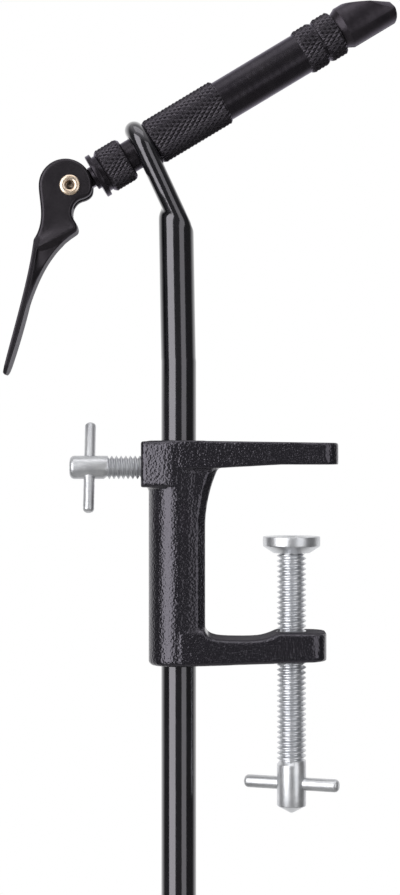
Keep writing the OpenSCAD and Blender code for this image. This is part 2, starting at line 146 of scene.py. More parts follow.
def drawSides(bm, drawn, halfWidth):
    # moves a slab's two sides from the half width they were drawn at to halfWidth(point)
    for v in bm.verts:
        v.co.y = math.copysign(halfWidth(v.co) - drawn + abs(v.co.y), v.co.y)
    bmesh.ops.remove_doubles(bm, verts=bm.verts, dist=1e-3)


def easeBetween(value, first, last):
    # 0 at the first, 1 at the last, level at both
    share = min(max((value - first) / (last - first), 0), 1)
    return share * share * (3 - 2 * share)


def roundedEnd(centre, corner, width, steps=10):
    # x of the cuts and the half width of a slab whose end has round corners
    cuts = [centre + corner * math.sin(math.pi / 2 * i / steps) for i in range(steps)]

    def halfWidth(x):
        past = min(max((x - centre) / corner, 0), 1)
        return width / 2 - corner + corner * math.sqrt(1 - past * past)
    return cuts, halfWidth


def trimPlane(bm, point, normal, dist=1e-5):
    # takes off what lies on the normal's side and leaves the cut open
    return bmesh.ops.bisect_plane(bm, geom=bm.verts[:] + bm.edges[:] + bm.faces[:], dist=dist,
                                  plane_co=point, plane_no=normal, clear_outer=True)["geom_cut"]


def cutPlane(bm, point, normal):
    # the same, and closes the cut
    cut = trimPlane(bm, point, normal)
    bmesh.ops.holes_fill(bm, edges=[e for e in cut if isinstance(e, bmesh.types.BMEdge)], sides=0)


def softenEdges(bm, width, segments, sharper):
    # rounds the edges that turn by more than this angle
    bm.normal_update()
    edges = [e for e in bm.edges
             if len(e.link_faces) == 2 and e.calc_face_angle(0) > math.radians(sharper)]
    bmesh.ops.bevel(bm, geom=edges, offset=width, offset_type="OFFSET", segments=segments,
                    profile=0.5, affect="EDGES", clamp_overlap=True, material=-1)


def ringEdges(bm, height):
    # the open edge at this height
    return [e for e in bm.edges if e.is_boundary
            and all(abs(v.co.z - height) < 1e-3 for v in e.verts)]


def growLoop(bm, edges, places):
    # carries a closed loop on to a list of places, in the loop's own order, and returns its new edges
    grown = bmesh.ops.extrude_edge_only(bm, edges=edges)["geom"]
    moved = [g for g in grown if isinstance(g, bmesh.types.BMVert)]
    for v, p in zip(moved, places):
        v.co = p
    return [g for g in grown if isinstance(g, bmesh.types.BMEdge) and set(g.verts) <= set(moved)]


def growRings(bm, edges, profile):
    # carries an open round edge on through (radius, height) steps and closes it on the axis
    for radius, height in profile:
        grown = bmesh.ops.extrude_edge_only(bm, edges=edges)["geom"]
        edges = [e for e in grown if isinstance(e, bmesh.types.BMEdge) and e.is_boundary]
        for v in {v for e in edges for v in e.verts}:
            out = math.hypot(v.co.x, v.co.y)
            v.co = (v.co.x * radius / out, v.co.y * radius / out, height)
    bmesh.ops.holes_fill(bm, edges=edges, sides=0)


def addTo(bm, part):
    mesh = bpy.data.meshes.new("part")
    part.to_mesh(mesh)
    part.free()
    bm.from_mesh(mesh)
    bpy.data.meshes.remove(mesh)


def toObject(name, bm, place):
    bmesh.ops.remove_doubles(bm, verts=bm.verts, dist=1e-4)
    bmesh.ops.recalc_face_normals(bm, faces=bm.faces)
    bmesh.ops.transform(bm, matrix=place, verts=bm.verts)
    mesh = bpy.data.meshes.new(name)
    bm.to_mesh(mesh)
    bm.free()
    piece = bpy.data.objects.new(name, mesh)
    scene.collection.objects.link(piece)
    return piece


def applyModifiers(piece):
    bpy.context.view_layer.update()
    graph = bpy.context.evaluated_depsgraph_get()
    mesh = bpy.data.meshes.new_from_object(piece.evaluated_get(graph))
    piece.modifiers.clear()
    piece.data = mesh


def castTogether(piece, voxelMm, softenSteps):
    # overlapping volumes become one skin with a soft run from each into the next
    skin = piece.modifiers.new("cast", "REMESH")
    skin.mode = "VOXEL"
    skin.voxel_size = voxelMm * mm
    skin.adaptivity = 0
    soft = piece.modifiers.new("soften", "SMOOTH")
    soft.factor = 0.5
    soft.iterations = softenSteps
    applyModifiers(piece)


def carve(piece, cutters):
    # each cutter is (bmesh, place); their volumes are taken out of the piece
    for bm, place in cutters:
        cutter = toObject("cutter", bm, place)
        carving = piece.modifiers.new("carve", "BOOLEAN")
        carving.operation = "DIFFERENCE"
        carving.solver = "EXACT"
        carving.object = cutter
        applyModifiers(piece)
        bpy.data.objects.remove(cutter)


def finishPiece(piece, body, nodes, material, sharpAngle=35):
    mesh = piece.data
    mesh.materials.clear()
    mesh.materials.append(material)
    mesh.shade_smooth()
    mesh.set_sharp_from_angle(angle=math.radians(sharpAngle))
    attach(piece, body)
    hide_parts(*nodes)
    print("vise: made", piece.name, len(mesh.polygons), "faces")


# Material helpers

def colour(hexText):
    channels = [int(hexText[i:i + 2], 16) / 255 for i in (1, 3, 5)]
    linear = [c / 12.92 if c <= 0.04045 else ((c + 0.055) / 1.055) ** 2.4 for c in channels]
    return (*linear, 1)


def addNode(tree, kind, settings, output=0):
    # a setting is named by its socket, by the socket's number or by the node's property, and a value
    # that is another node's output is linked; what comes back is the new node's own output
    node = tree.nodes.new("ShaderNode" + kind)
    for name, value in settings.items():
        if name == "stops":
            # of a colour ramp: pairs of a position and a grey or a colour
            elements = node.color_ramp.elements
            while len(elements) < len(value):
                elements.new(0.5)
            for element, (position, shade) in zip(elements, value):
                element.position = position
                element.color = shade if isinstance(shade, tuple) else (shade, shade, shade, 1)
        elif isinstance(value, bpy.types.NodeSocket):
            tree.links.new(value, node.inputs[name])
        elif isinstance(name, int) or name in node.inputs:
            node.inputs[name].default_value = value
        else:
            setattr(node, name, value)
    return node.outputs[output] if node.outputs else None


def newMaterial(name):
    material = bpy.data.materials.new(name)
    material.use_nodes = True
    tree = material.node_tree
    tree.nodes.clear()
    return material, tree, addNode(tree, "TexCoord", {}, "Object")


def finishMaterial(material, shading):
    tree = material.node_tree
    addNode(tree, "OutputMaterial", {"Surface": addNode(tree, "BsdfPrincipled", shading)})
    return material


def perMetre(sizeMm):
    # texture scale that gives features of about this size
    return 1 / (sizeMm * mm)


def wavesPerMetre(spacingMm):
    # wave texture scale that sets the crests this far apart, as its unit holds 20 radians
    return perMetre(spacingMm) * fullTurn / 20


def wornEdges(tree, radiusMm, low, high):
    # 1 on the sharp outer edges that handling rubs first, 0 on the flats
    rounded = addNode(tree, "Bevel", {"samples": 6, "Radius": radiusMm * mm})
    straight = addNode(tree, "NewGeometry", {}, "Normal")
    match = addNode(tree, "VectorMath", {"operation": "DOT_PRODUCT", 0: rounded, 1: straight}, "Value")
    return addNode(tree, "ValToRGB", {"Fac": match, "stops": [(low, 1.0), (high, 0.0)]})


def barrelPlace(tree, place):
    # turns the coordinates so that Z runs along the tilted barrel, from the eye's centre
    moved = addNode(tree, "VectorMath", {"operation": "SUBTRACT", 0: place, 1: eyeCentre * mm})
    tilt = math.atan2(barrelAxis.x, barrelAxis.z)
    return addNode(tree, "Mapping", {"Rotation": (0, -tilt, 0), "Vector": moved})


def turningMarks(tree, place, spacingMm, wobble=1.5):
    # tool marks run round the axis, so they are bands along Z, wider than real ones so that they show
    return addNode(tree, "TexWave",
                   {"wave_type": "BANDS", "bands_direction": "Z", "Scale": wavesPerMetre(spacingMm),
                    "Distortion": wobble, "Detail": 2, "Detail Scale": 3, "Vector": place}, "Fac")


# Materials

# black stoving enamel and black oxide both mirror the light a little cooler than it is
blueBlack = (0.92, 0.87, 1.0, 1)


def makeHammeredEnamel():
    # Black hammer-finish stoving enamel over cast iron: a pebbled skin that breaks a highlight into specks
    material, tree, place = newMaterial("hammeredEnamelOnCastIron")
    pebbles = addNode(tree, "TexVoronoi", {"feature": "SMOOTH_F1", "Scale": perMetre(0.62),
                                           "Smoothness": 0.5, "Vector": place}, "Distance")
    grit = addNode(tree, "TexNoise", {"Scale": perMetre(0.35), "Detail": 4, "Roughness": 0.6,
                                      "Vector": place})
    swell = addNode(tree, "TexNoise", {"Scale": perMetre(6), "Detail": 2, "Roughness": 0.55, "Vector": place})
    skin = addNode(tree, "Math", {"operation": "MULTIPLY_ADD", 0: grit, 1: 0.35, 2: pebbles})
    pebbled = addNode(tree, "Bump", {"Distance": 0.1 * mm, "Height": skin})
    uneven = addNode(tree, "Bump", {"Distance": 0.12 * mm, "Height": swell, "Normal": pebbled})
    tint = addNode(tree, "ValToRGB", {"Fac": grit,
                                      "stops": [(0.3, colour("#131216")), (0.7, colour("#1b1a1e"))]})
    bare = addNode(tree, "Math", {"operation": "MULTIPLY", 0: wornEdges(tree, 0.35, 0.86, 0.95), 1: 0.25})
    rubbed = addNode(tree, "Mix", {"data_type": "RGBA", "Factor": bare, 6: tint, 7: colour("#4a494b")}, 2)
    # the dust that settles on its upward faces takes their mirror shine away
    upward = addNode(tree, "SeparateXYZ", {0: addNode(tree, "NewGeometry", {}, "Normal")}, "Z")
    dusty = addNode(tree, "ValToRGB", {"Fac": upward, "stops": [(0.6, 0.0), (0.9, 0.95)]})
    glossy = addNode(tree, "ValToRGB", {"Fac": pebbles, "stops": [(0.1, 0.1), (0.7, 0.2)]})
    rough = addNode(tree, "Math", {"operation": "MAXIMUM", 0: glossy, 1: dusty})
    return finishMaterial(material, {"Base Color": rubbed, "Roughness": rough, "Normal": uneven,
                                     "IOR": 1.7, "Specular Tint": blueBlack})


def makeGlossEnamel():
    # Gloss black stoving enamel on drawn rod: deep, with a faint orange peel that waves the highlights
    material, tree, place = newMaterial("glossEnamelOnSteelRod")
    along = addNode(tree, "Mapping", {"Scale": (1, 1, 0.15), "Vector": place})
    peel = addNode(tree, "TexNoise", {"Scale": perMetre(2.6), "Detail": 2, "Roughness": 0.4, "Vector": place})
    draw = addNode(tree, "TexNoise", {"Scale": perMetre(1.2), "Detail": 3, "Roughness": 0.55,
                                      "Vector": along})
    haze = addNode(tree, "TexNoise", {"Scale": perMetre(14), "Detail": 4, "Roughness": 0.6, "Vector": place})
    waved = addNode(tree, "Bump", {"Distance": 0.03 * mm, "Height": peel})
    drawn = addNode(tree, "Bump", {"Distance": 0.012 * mm, "Height": draw, "Normal": waved})
    tint = addNode(tree, "ValToRGB", {"Fac": haze,
                                      "stops": [(0.35, colour("#0d0d0f")), (0.7, colour("#141417"))]})
    rough = addNode(tree, "ValToRGB", {"Fac": haze, "stops": [(0.3, 0.11), (0.75, 0.19)]})
    return finishMaterial(material, {"Base Color": tint, "Roughness": rough, "Normal": drawn, "IOR": 1.6,
                                     "Specular Tint": blueBlack, "Coat Weight": 1, "Coat Roughness": 0.06})


def makeBlackOxide(name, hexDark, hexWorn, roughLow, roughHigh, marksMm, turned=True, wear=0.5, gleam=1):
    # Blackened steel: a thin oxide skin, dark and oily, through which edges show brighter metal
    material, tree, place = newMaterial(name)
    marks = turningMarks(tree, barrelPlace(tree, place) if turned else place, marksMm)
    cloud = addNode(tree, "TexNoise", {"Scale": perMetre(5), "Detail": 4, "Roughness": 0.6, "Vector": place})
    fine = addNode(tree, "TexNoise", {"Scale": perMetre(0.4), "Detail": 3, "Roughness": 0.55,
                                      "Vector": place})
    body = addNode(tree, "ValToRGB", {"Fac": cloud,
                                      "stops": [(0.3, colour(hexDark)), (0.75, colour(hexWorn))]})
    bare = addNode(tree, "Math", {"operation": "MULTIPLY", 0: wornEdges(tree, 0.2, 0.8, 0.94), 1: wear})
    rubbed = addNode(tree, "Mix", {"data_type": "RGBA", "Factor": bare, 6: body, 7: colour("#77767a")}, 2)
    span = roughHigh - roughLow
    rough = addNode(tree, "Math", {"operation": "MULTIPLY_ADD", 0: fine, 1: span, 2: roughLow})
    scored = addNode(tree, "Bump", {"Distance": 0.012 * mm, "Height": marks})
    grained = addNode(tree, "Bump", {"Distance": 0.012 * mm, "Height": fine, "Normal": scored})
    glance = [gleam * c for c in blueBlack[:3]] + [1]
    return finishMaterial(material, {"Base Color": rubbed, "Roughness": rough, "Normal": grained,
                                     "Metallic": 0.75, "Specular Tint": glance})


def makeZincPlate(name, hexLow, hexHigh, roughLow, turned):
    # Bright zinc plate on turned steel: pale, slightly blue, a satin that blurs what it mirrors
    material, tree, place = newMaterial(name)
    cloud = addNode(tree, "TexNoise", {"Scale": perMetre(3), "Detail": 4, "Roughness": 0.6, "Vector": place})
    speck = addNode(tree, "TexNoise", {"Scale": perMetre(0.25), "Detail": 2, "Roughness": 0.55,
                                       "Vector": place})
    drawn = addNode(tree, "TexNoise", {"Scale": perMetre(0.5), "Detail": 3, "Roughness": 0.55,
                                       "Vector": place})
    marks = turningMarks(tree, place, 1.885, 0.8) if turned else drawn
    tint = addNode(tree, "ValToRGB", {"Fac": cloud,
                                      "stops": [(0.3, colour(hexLow)), (0.7, colour(hexHigh))]})
    rough = addNode(tree, "Math", {"operation": "MULTIPLY_ADD", 0: speck, 1: 0.16, 2: roughLow})
    scored = addNode(tree, "Bump", {"Distance": 0.006 * mm, "Height": marks})
    grained = addNode(tree, "Bump", {"Distance": 0.008 * mm, "Height": speck, "Normal": scored})
    return finishMaterial(material, {"Base Color": tint, "Roughness": rough, "Normal": grained,
                                     "Metallic": 0.85})


def makeRolledBrass():
    # Pale brass rivet, its end spun over: warm metal with faint rings, painted shade down its hole and a
    # small painted highlight at the hole's centre
    material, tree, place = newMaterial("spunBrassRivet")
    centred = addNode(tree, "VectorMath", {"operation": "SUBTRACT", 0: place, 1: pinCentre * mm})
    flat = addNode(tree, "VectorMath", {"operation": "MULTIPLY", 0: centred, 1: (1, 0, 1)})
    out = addNode(tree, "VectorMath", {"operation": "LENGTH", 0: flat}, "Value")
    rings = addNode(tree, "TexWave", {"wave_type": "RINGS", "rings_direction": "Y", "Distortion": 1,
                                      "Scale": wavesPerMetre(2.2), "Vector": centred}, "Fac")
    tarnish = addNode(tree, "TexNoise", {"Scale": perMetre(1.2), "Detail": 4, "Roughness": 0.55,
                                         "Vector": place})
    pale = addNode(tree, "ValToRGB", {"Fac": tarnish,
                                      "stops": [(0.3, colour("#dcc3a8")), (0.7, colour("#f3e2d0"))]})
    outShare = addNode(tree, "Math", {"operation": "DIVIDE", 0: out, 1: 2 * mm})
    # painted shade: dark inside the hole, lighter at its very centre as a painted highlight, none outside the
    # hole
    sunk = addNode(tree, "ValToRGB", {"Fac": outShare, "stops": [(0.0, 0.3), (0.18, 0.5), (0.3, 0.93),
                                                                 (0.56, 0.93), (0.62, 0.0)]})
    # the painted shade goes only on the rolled end in front
    depth = addNode(tree, "SeparateXYZ", {0: centred}, "Y")
    inFront = addNode(tree, "Math", {"operation": "LESS_THAN", 0: depth, 1: 0})
    paintedRecessShade = addNode(tree, "Math", {"operation": "MULTIPLY", 0: sunk, 1: inFront})
    tint = addNode(tree, "Mix", {"data_type": "RGBA", "Factor": paintedRecessShade, 6: pale, 7: colour("#2a2018")}, 2)
    rough = addNode(tree, "ValToRGB", {"Fac": tarnish, "stops": [(0.3, 0.34), (0.8, 0.26)]})
    spun = addNode(tree, "Bump", {"Distance": 0.002 * mm, "Height": rings})
    return finishMaterial(material, {"Base Color": tint, "Roughness": rough, "Normal": spun, "Metallic": 0.9})


def makeBareSteel(name, hexLow, hexHigh, grainMm):
    # Drawn or ground metal with no plate: duller than zinc, with a light film of oil
    material, tree, place = newMaterial(name)
    grain = addNode(tree, "TexNoise", {"Scale": perMetre(grainMm), "Detail": 4, "Roughness": 0.55,
                                       "Vector": place})
    oil = addNode(tree, "TexNoise", {"Scale": perMetre(2.5), "Detail": 3, "Roughness": 0.55, "Vector": place})
    tint = addNode(tree, "ValToRGB", {"Fac": oil, "stops": [(0.3, colour(hexLow)), (0.7, colour(hexHigh))]})
    rough = addNode(tree, "ValToRGB", {"Fac": grain, "stops": [(0.3, 0.22), (0.7, 0.36)]})
    ground = addNode(tree, "Bump", {"Distance": 0.006 * mm, "Height": grain})
    return finishMaterial(material, {"Base Color": tint, "Roughness": rough, "Normal": ground, "Metallic": 1})


def makeMouldedCap():
    # Moulded polyethylene cap: matt black with the fine spark-eroded grain of its mould
    material, tree, place = newMaterial("mouldedPolyethyleneCap")
    grain = addNode(tree, "TexNoise", {"Scale": perMetre(0.3), "Detail": 3, "Roughness": 0.55,
                                       "Vector": place})
    scuff = addNode(tree, "TexNoise", {"Scale": perMetre(2), "Detail": 4, "Roughness": 0.55, "Vector": place})
    tint = addNode(tree, "ValToRGB", {"Fac": scuff,
                                      "stops": [(0.35, colour("#1a1a1b")), (0.75, colour("#262627"))]})
    rough = addNode(tree, "ValToRGB", {"Fac": scuff, "stops": [(0.3, 0.5), (0.7, 0.65)]})
    eroded = addNode(tree, "Bump", {"Distance": 0.02 * mm, "Height": grain})
    return finishMaterial(material, {"Base Color": tint, "Roughness": rough, "Normal": eroded})


hammeredEnamel = makeHammeredEnamel()
glossEnamel = makeGlossEnamel()
turnedOxide = makeBlackOxide("blackOxideTurnedSteel", "#28252a", "#353236", 0.22, 0.34, 2.2)
groundOxide = makeBlackOxide("blackOxideGroundJaw", "#2d292e", "#3d393e", 0.3, 0.42, 1.885)
leverOxide = makeBlackOxide("blackOxideForgedLever", "#333034", "#3f3c40", 0.27, 0.38, 12.57, False,
                            wear=0.4, gleam=0.35)
rodOxide = makeBlackOxide("blackOxideDrawnRod", "#2b2a2c", "#3c3b3d", 0.3, 0.42, 2.513)
zincScrew = makeZincPlate("zincPlateTurnedScrew", "#ced0d4", "#e4e5e8", 0.27, True)
zincBar = makeZincPlate("zincPlateDrawnBar", "#bfc0c4", "#d4d5d7", 0.3, False)
rivetBrass = makeRolledBrass()
springSteel = makeBareSteel("musicWireSpring", "#8d8c8e", "#b4b3b5", 0.3)
pinSteel = makeBareSteel("hardenedPinSteel", "#76767a", "#a3a3a6", 0.2)
padBrass = makeBareSteel("leadedBrassPad", "#b08c52", "#cba868", 0.3)
mouldedCap = makeMouldedCap()
print("vise: materials made")


# Clamp casting

clamp = {
    "armWidth": 19, "armTipTop": 5.85, "armRootLow": -0.95, "landFrom": -3, "rootFrom": -20, "tipCorner": 4,
    "tubeRadius": 8.2, "footChamfer": 0.8, "flangeFace": 7.2, "spineCorner": 2.0, "spineDraw": 0.02,
    "spineDrawRun": 4.5, "braceFoot": -17, "overlap": 0.15,
    "bossRadius": 9.3, "bossFootRise": 0.85, "lowerWidth": 16.8, "lowerEdge": 0.7, "lowerCorner": 4,
    "lowerTop": -45.35, "lowerDip": 1.85, "lowerTipRise": 1.4, "cornerRise": 0.8,
    "lockBossTaper": 11.5, "lockBossEdge": 0.7, "lockBossTop": 6.3, "lockBossLow": -6.2, "lockBossBend": 4,
    "stemBore": 4.83, "screwBore": 4.04, "lockBore": 3.25, "boreChamfer": 0.35,
    "voxel": 0.4, "softenSteps": 7,
}


def bezier(a, b, c, d, steps):
    points = []
    for i in range(steps + 1):
        s = i / steps
        q = 1 - s
        weights = (q ** 3, 3 * q * q * s, 3 * q * s * s, s ** 3)
        points.append(tuple(sum(w * p[k] for w, p in zip(weights, (a, b, c, d))) for k in (0, 1)))
    return points


def boreCutter(radius, low, high, chamfer, mouths):
    # a drill with a countersink at each mouth's height
    bm = bmesh.new()
    profile = [(0, low), (radius, low)]
    for mouth, opensUp in mouths:
        widest = mouth + chamfer if opensUp else mouth - chamfer
        profile += [(radius, mouth - chamfer), (radius + 2 * chamfer, widest), (radius, mouth + chamfer)]
    profile += [(radius, high), (0, high)]
    turnOnLathe(bm, profile, 96)
    return bm


def makeClampCasting(s):
    low, high = boxOf("clamp_frame")
    top, foot, tip, back = high.z, low.z, high.x, low.x
    face = stemX + s["flangeFace"]
    casting = bmesh.new()

    # curved brace between the upper arm's root and the spine
    drop = s["armRootLow"] - s["braceFoot"]
    out = s["rootFrom"] - face
    bend = (out * out + drop * drop) / (2 * out)
    sweep = math.asin(drop / bend)
    angles = [sweep * i / 12 for i in range(13)]
    curve = [(face + bend - bend * math.cos(a), s["braceFoot"] + bend * math.sin(a)) for a in angles]

    # spine: a tube whose flat sides run on to the throat and the brace, and end in soft corners
    part = bmesh.new()
    turnOnLathe(part, [(0, foot), (s["tubeRadius"] - s["footChamfer"], foot),
                       (s["tubeRadius"], foot + s["footChamfer"]), (s["tubeRadius"], top), (0, top)], 96)
    bmesh.ops.translate(part, vec=(stemX, 0, 0), verts=part.verts)
    cutPlane(part, (face, 0, 0), (1, 0, 0))
    addTo(casting, part)
    part = bmesh.new()
    spineWidth = 2 * s["tubeRadius"]
    start = foot + 2 * s["overlap"]
    raiseSoftSlab(part, [(stemX, start), (face, start)] + curve + [(s["rootFrom"], 0), (stemX, 0)],
                  spineWidth, s["spineCorner"])
    cutAcross(part, [stemX + i * 0.7 for i in range(1, 7)], (1, 0, 0))
    spineHalf, draw, drawRun = s["tubeRadius"], s["spineDraw"], s["spineDrawRun"]
    drawSides(part, spineHalf, lambda point: spineHalf - draw * min(point.x - stemX, drawRun) ** 2)
    addTo(casting, part)

    # upper arm with its round-cornered tip, narrowing to the spine's width at the stem
    part = bmesh.new()
    raiseOutline(part, [(stemX, top), (tip, s["armTipTop"]), (tip, 0), (s["landFrom"], 0),
                        (s["rootFrom"], s["armRootLow"]), (stemX, s["armRootLow"])], s["armWidth"])
    cuts, tipHalfWidth = roundedEnd(tip - s["tipCorner"], s["tipCorner"], s["armWidth"])
    narrower = (s["armWidth"] - spineWidth) / 2 - s["overlap"]
    cutAcross(part, cuts, (1, 0, 0))
    drawSides(part, s["armWidth"] / 2,
              lambda point: tipHalfWidth(point.x) - narrower * max(cuts[0] - point.x, 0) / (cuts[0] - stemX))
    addTo(casting, part)

    # lower arm, a little wider than the spine and round-cornered past the clamp screw
    end = s["bossRadius"]
    level = s["lowerTop"]
    dip = level - s["lowerDip"]
    corner = level + s["cornerRise"]
    outline = [(stemX, foot), (end, foot + s["lowerTipRise"]), (end, level - 0.1), (-3.1, level + 0.1)]
    outline += bezier((-3.9, level), (-7.2, dip + 0.3), (-8.5, dip), (-13.5, dip), 8)
    outline += bezier((-13.5, dip), (-19.5, dip), (face + 0.4, dip + 0.1), (face, corner), 8)[1:]
    outline += [(stemX, corner)]
    part = bmesh.new()
    raiseSoftSlab(part, outline, s["lowerWidth"], s["lowerEdge"])
    cuts, lowerHalfWidth = roundedEnd(end - s["lowerCorner"], s["lowerCorner"], s["lowerWidth"])
    cutAcross(part, cuts, (1, 0, 0))
    drawSides(part, s["lowerWidth"] / 2, lambda point: lowerHalfWidth(point.x))
    addTo(casting, part)

    # boss for the lock screw: both sides run in towards its face
    part = bmesh.new()
    raiseSoftSlab(part, [(stemX, s["lockBossLow"]), (back, s["lockBossLow"]),
                         (back, s["lockBossTop"]), (stemX, s["lockBossTop"])], spineWidth, s["lockBossEdge"])
    bendRun, taper = s["lockBossBend"], math.tan(math.radians(s["lockBossTaper"]))

    def bossHalfWidth(x):
        past = stemX - x
        drop = past * past / (2 * bendRun) if past < bendRun else past - bendRun / 2
        return spineHalf + s["overlap"] - drop * taper
    cutAcross(part, [stemX - bendRun * i / 8 for i in range(1, 9)], (1, 0, 0))
    drawSides(part, spineHalf, lambda point: bossHalfWidth(point.x))
    addTo(casting, part)

    # the parts run into each other as one casting with soft edges, then the bores are drilled
    piece = toObject("clampCasting", casting, inVise)
    castTogether(piece, s["voxel"], s["softenSteps"])
    chamfer = s["boreChamfer"]
    stemBore = boreCutter(s["stemBore"], foot - 1, top + 1, chamfer, [(foot, False), (top, True)])
    screwBore = boreCutter(s["screwBore"], foot - 1, level + 2, chamfer,
                           [(foot + s["bossFootRise"], False), (level, True)])
    lockBore = boreCutter(s["lockBore"], back - 1, stemX, chamfer, [(back, False)])
    carve(piece, [(stemBore, placeAt(Vector((stemX, 0, 0)), Vector((0, 0, 1)), Vector((1, 0, 0)))),
                  (screwBore, inVise), (lockBore, onLockScrew)])
    finishPiece(piece, "clamp", ["clamp_frame"], hammeredEnamel, 50)


makeClampCasting(clamp)


# Clamp screw with its pad and bar

clampScrew = {
    "major": 3.97, "pitch": 25.4 / 18, "threadFrom": -80.5, "threadTo": -24.55, "runOut": 1.1, "relief": 0.9,
    "sunk": 0.15, "shoulderGap": 0.07, "spigot": 2.5, "peen": 4.0, "peenDepth": 1.65,
    "endCone": 1.5, "endChamfer": 0.7,
}
pressurePad = {
    "radius": 7.8, "rim": 2.6, "height": 4.5, "neck": 4.95, "bore": 2.57, "sink": 4.27, "sinkDepth": 1.7,
    "edge": 0.22,
}
tommyBars = {
    "clamp": {"radius": 1.75, "length": 26.9, "height": -86.8, "turn": -21, "round": 1.1},
    "lock": {"radius": 1.5, "length": 26.4, "height": -55, "turn": -25, "round": 0.9},
}


def threadedRod(bm, major, pitch, low, high, steps=48):
    # a helical thread: a zigzag as long as the thread is spun while it climbs one pitch a turn;
    # a unified thread has 60 degree flanks, and a crest an eighth of its pitch wide
    depth = 0.6134 * pitch
    root, crest = major - depth, pitch / 8
    flank = depth * math.tan(math.radians(30))
    rise = [(root, 0), (major, flank), (major, flank + crest), (root, 2 * flank + crest)]
    turns = math.ceil((high - low) / pitch) + 2
    start = low - 1.5 * pitch
    zigzag = [(r, 0, start + k * pitch + h) for k in range(turns) for r, h in rise]
    verts, edges = newEdges(bm, zigzag)
    bmesh.ops.spin(bm, geom=verts + edges, cent=(0, 0, 0), axis=(0, 0, 1), dvec=(0, 0, pitch / steps),
                   angle=fullTurn, steps=steps, use_merge=False, use_duplicate=False)
    bmesh.ops.remove_doubles(bm, verts=bm.verts, dist=2e-3)
    trimPlane(bm, (0, 0, low), (0, 0, -1), 1e-4)
    trimPlane(bm, (0, 0, high), (0, 0, 1), 1e-4)


def makeClampScrew(s, pad):
    low, high = boxOf("clamp_screw")
    face = high.z
    bm = bmesh.new()
    threadedRod(bm, s["major"], s["pitch"], s["threadFrom"], s["threadTo"])
    major, spigot, peen, chamfer = s["major"], s["spigot"], s["peen"], s["endChamfer"]
    relieved = major - s["relief"]
    # its upper end goes through the pad and is peened over in the pad's sink, just below the pad's face
    shoulder = face + s["sunk"] - pad["height"] - s["shoulderGap"]
    growRings(bm, ringEdges(bm, s["threadTo"]),
              [(relieved, s["threadTo"] + 0.2), (relieved, shoulder), (spigot, shoulder),
               (spigot, face + 0.2 - s["peenDepth"]), (peen - 0.1, face - 0.1), (peen - 0.3, face),
               (1.3, face), (1.1, face - 0.25), (0.4, face - 0.3)])
    endTop = low.z + s["endCone"]
    growRings(bm, ringEdges(bm, s["threadFrom"]),
              [(major, s["threadFrom"] - s["runOut"]), (major, endTop + chamfer),
               (major - 0.12, endTop + chamfer * 0.45), (major - chamfer, endTop), (0.5, low.z)])
    piece = toObject("clampScrewThreaded", bm, inVise)
    finishPiece(piece, "clamp_screw", ["clamp_screw"], zincScrew, 28)


def makePressurePad(s):
    top = boxOf("pressure_pad")[1].z
    back = top - s["height"]
    bm = bmesh.new()
    turnOnLathe(bm, [(s["bore"], back), (s["neck"], back), (s["radius"], top - s["rim"]), (s["radius"], top),
                     (s["sink"], top), (s["bore"], top - s["sinkDepth"])], 96, True)
    softenEdges(bm, s["edge"], 3, 20)
    piece = toObject("pressurePadTurned", bm, inVise)
    finishPiece(piece, "pad", ["pressure_pad"], zincScrew, 32)


def makeTommyBar(name, s, place, body, node):
    half, r, e = s["length"] / 2, s["radius"], s["round"]
    bm = bmesh.new()
    arc = [(r - e + e * math.cos(a), half - e + e * math.sin(a)) for a in (0, 0.4, 0.8, 1.2, math.pi / 2)]
    profile = [(x, -h) for x, h in reversed(arc)] + arc
    turnOnLathe(bm, [(0, -half)] + profile + [(0, half)], 40)
    piece = toObject(name, bm, place)
    finishPiece(piece, body, [node], zincBar)


makeClampScrew(clampScrew, pressurePad)
makePressurePad(pressurePad)
clampBar = tommyBars["clamp"]
clampBarTurn = math.radians(clampBar["turn"])
makeTommyBar("clampScrewTommyBar", clampBar,
             placeAt(Vector((0, 0, clampBar["height"])),
                     Vector((math.cos(clampBarTurn), math.sin(clampBarTurn), 0)), Vector((0, 0, 1))),
             "clamp_screw", "clamp_screw_bar")


# Lock screw with its bar

lockScrew = {
    "major": 3.175, "pitch": 25.4 / 20, "threadFrom": -50.1, "threadTo": -37.6, "runOut": 1.0,
    "dome": 1.3, "tipChamfer": 0.6,
}


def makeLockScrew(s):
    low, high = boxOf("lock_screw")
    major, dome = s["major"], s["dome"]
    bm = bmesh.new()
    threadedRod(bm, major, s["pitch"], s["threadFrom"], s["threadTo"])
    growRings(bm, ringEdges(bm, s["threadTo"]), [(major - s["tipChamfer"], high.x - 0.1), (0.6, high.x)])
    profile = [(major, s["threadFrom"] - s["runOut"])]
    profile += [(major - dome + dome * math.cos(a), low.x + dome - dome * math.sin(a))
                for a in (0, 0.3, 0.6, 0.9, 1.2, math.pi / 2)]
    growRings(bm, ringEdges(bm, s["threadFrom"]), profile + [(0.5, low.x)])
    piece = toObject("lockScrewThreaded", bm, onLockScrew)
    finishPiece(piece, "lock_screw", ["lock_screw"], zincBar, 28)


makeLockScrew(lockScrew)
lockBar = tommyBars["lock"]
lockBarTurn = math.radians(lockBar["turn"])
makeTommyBar("lockScrewTommyBar", lockBar,
             placeAt(Vector((lockBar["height"], 0, lockAxisZ)),
                     Vector((0, -math.sin(lockBarTurn), math.cos(lockBarTurn))), Vector((1, 0, 0))),
             "lock_screw", "lock_screw_bar")
print("vise: clamp done")


# Stem: rod, forged neck and eye

stem = {
    "radius": 4.7625, "leanFrom": 30, "lean": 1.15, "bendHeight": 67.9, "shoulder": 66.8, "cutBelow": 29,
    "neckThick": 5.5, "neckWidth": 12.2, "spread": (-4, 6), "footChamfer": 0.5,
    "eyeRadius": 8.05, "eyeThick": 5.3, "eyeHole": 4.4, "setScrew": 1.45, "voxel": 0.22, "softenSteps": 34,
}


